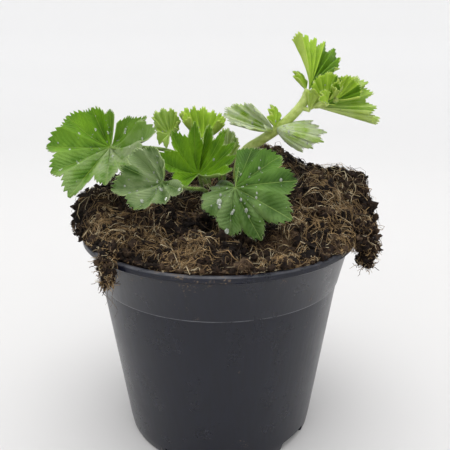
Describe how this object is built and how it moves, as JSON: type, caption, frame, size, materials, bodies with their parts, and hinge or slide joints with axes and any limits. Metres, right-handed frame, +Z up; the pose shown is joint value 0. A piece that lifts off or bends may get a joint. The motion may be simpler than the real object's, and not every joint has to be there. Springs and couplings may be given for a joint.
{
  "type": "potted ladys mantle",
  "caption": "Young lady's mantle with pleated, toothed leaves and one leaning shoot, in a plain black nursery pot heaped with fibrous peat.",
  "frame": {"origin": "centre of the flat underside of the pot, on the pot's axis", "axes": "+Z up along the pot's axis, -Y towards the front that the picture shows, +X to the right"},
  "size_m": [0.201, 0.17, 0.2491],
  "materials": {
    "pot": "black polypropylene with a dull sheen",
    "soil": "rough, loose, fibrous peat",
    "rootstock": "brown and scaly",
    "leaf": "soft, finely hairy green leaf",
    "young_leaf": "soft, bright yellow green young leaf and stem"
  },
  "bodies": {
    "root": {"pot": "pot", "soil": "soil", "rootstock": "rootstock", "leaf_left": "leaf", "leaf_lower_left": "leaf", "leaf_centre": "leaf", "leaf_front": "leaf", "leaf_back_left": "young_leaf", "leaf_back": "young_leaf", "leaf_young_right": "young_leaf", "right_shoot": "young_leaf"}
  },
  "joints": []
}
